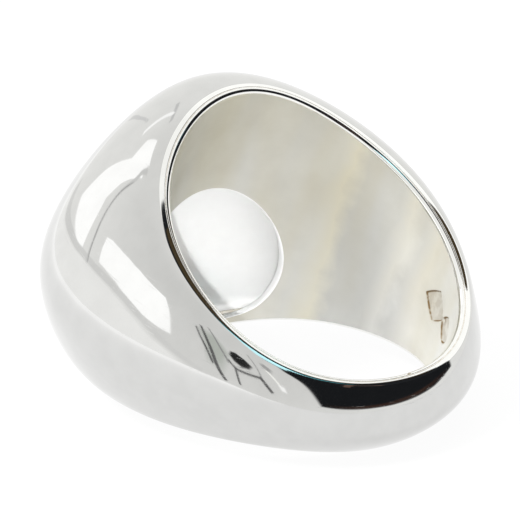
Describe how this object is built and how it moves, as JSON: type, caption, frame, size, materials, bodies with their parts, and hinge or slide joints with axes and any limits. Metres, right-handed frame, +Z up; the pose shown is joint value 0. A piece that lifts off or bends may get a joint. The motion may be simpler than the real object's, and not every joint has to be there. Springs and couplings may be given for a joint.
{
  "type": "signet ring",
  "caption": "Hollow domed signet ring with a broad smooth head, a tapering band, and a thin liner with a window behind the head.",
  "frame": {"origin": "centre of the bounding box's base, on the surface that the ring lies on", "axes": "+Z up from the table that the ring lies on, -Y towards the head, +X across the ring"},
  "size_m": [0.0274, 0.0264, 0.0185],
  "materials": {
    "polished_silver": "polished",
    "satin_silver": "satin",
    "solder": "satin"
  },
  "bodies": {
    "root": {"outer_shell": "polished_silver", "inner_liner": "satin_silver", "upper_rim_solder": "solder", "lower_rim_solder": "solder", "liner_joint_solder": "solder"}
  },
  "joints": []
}
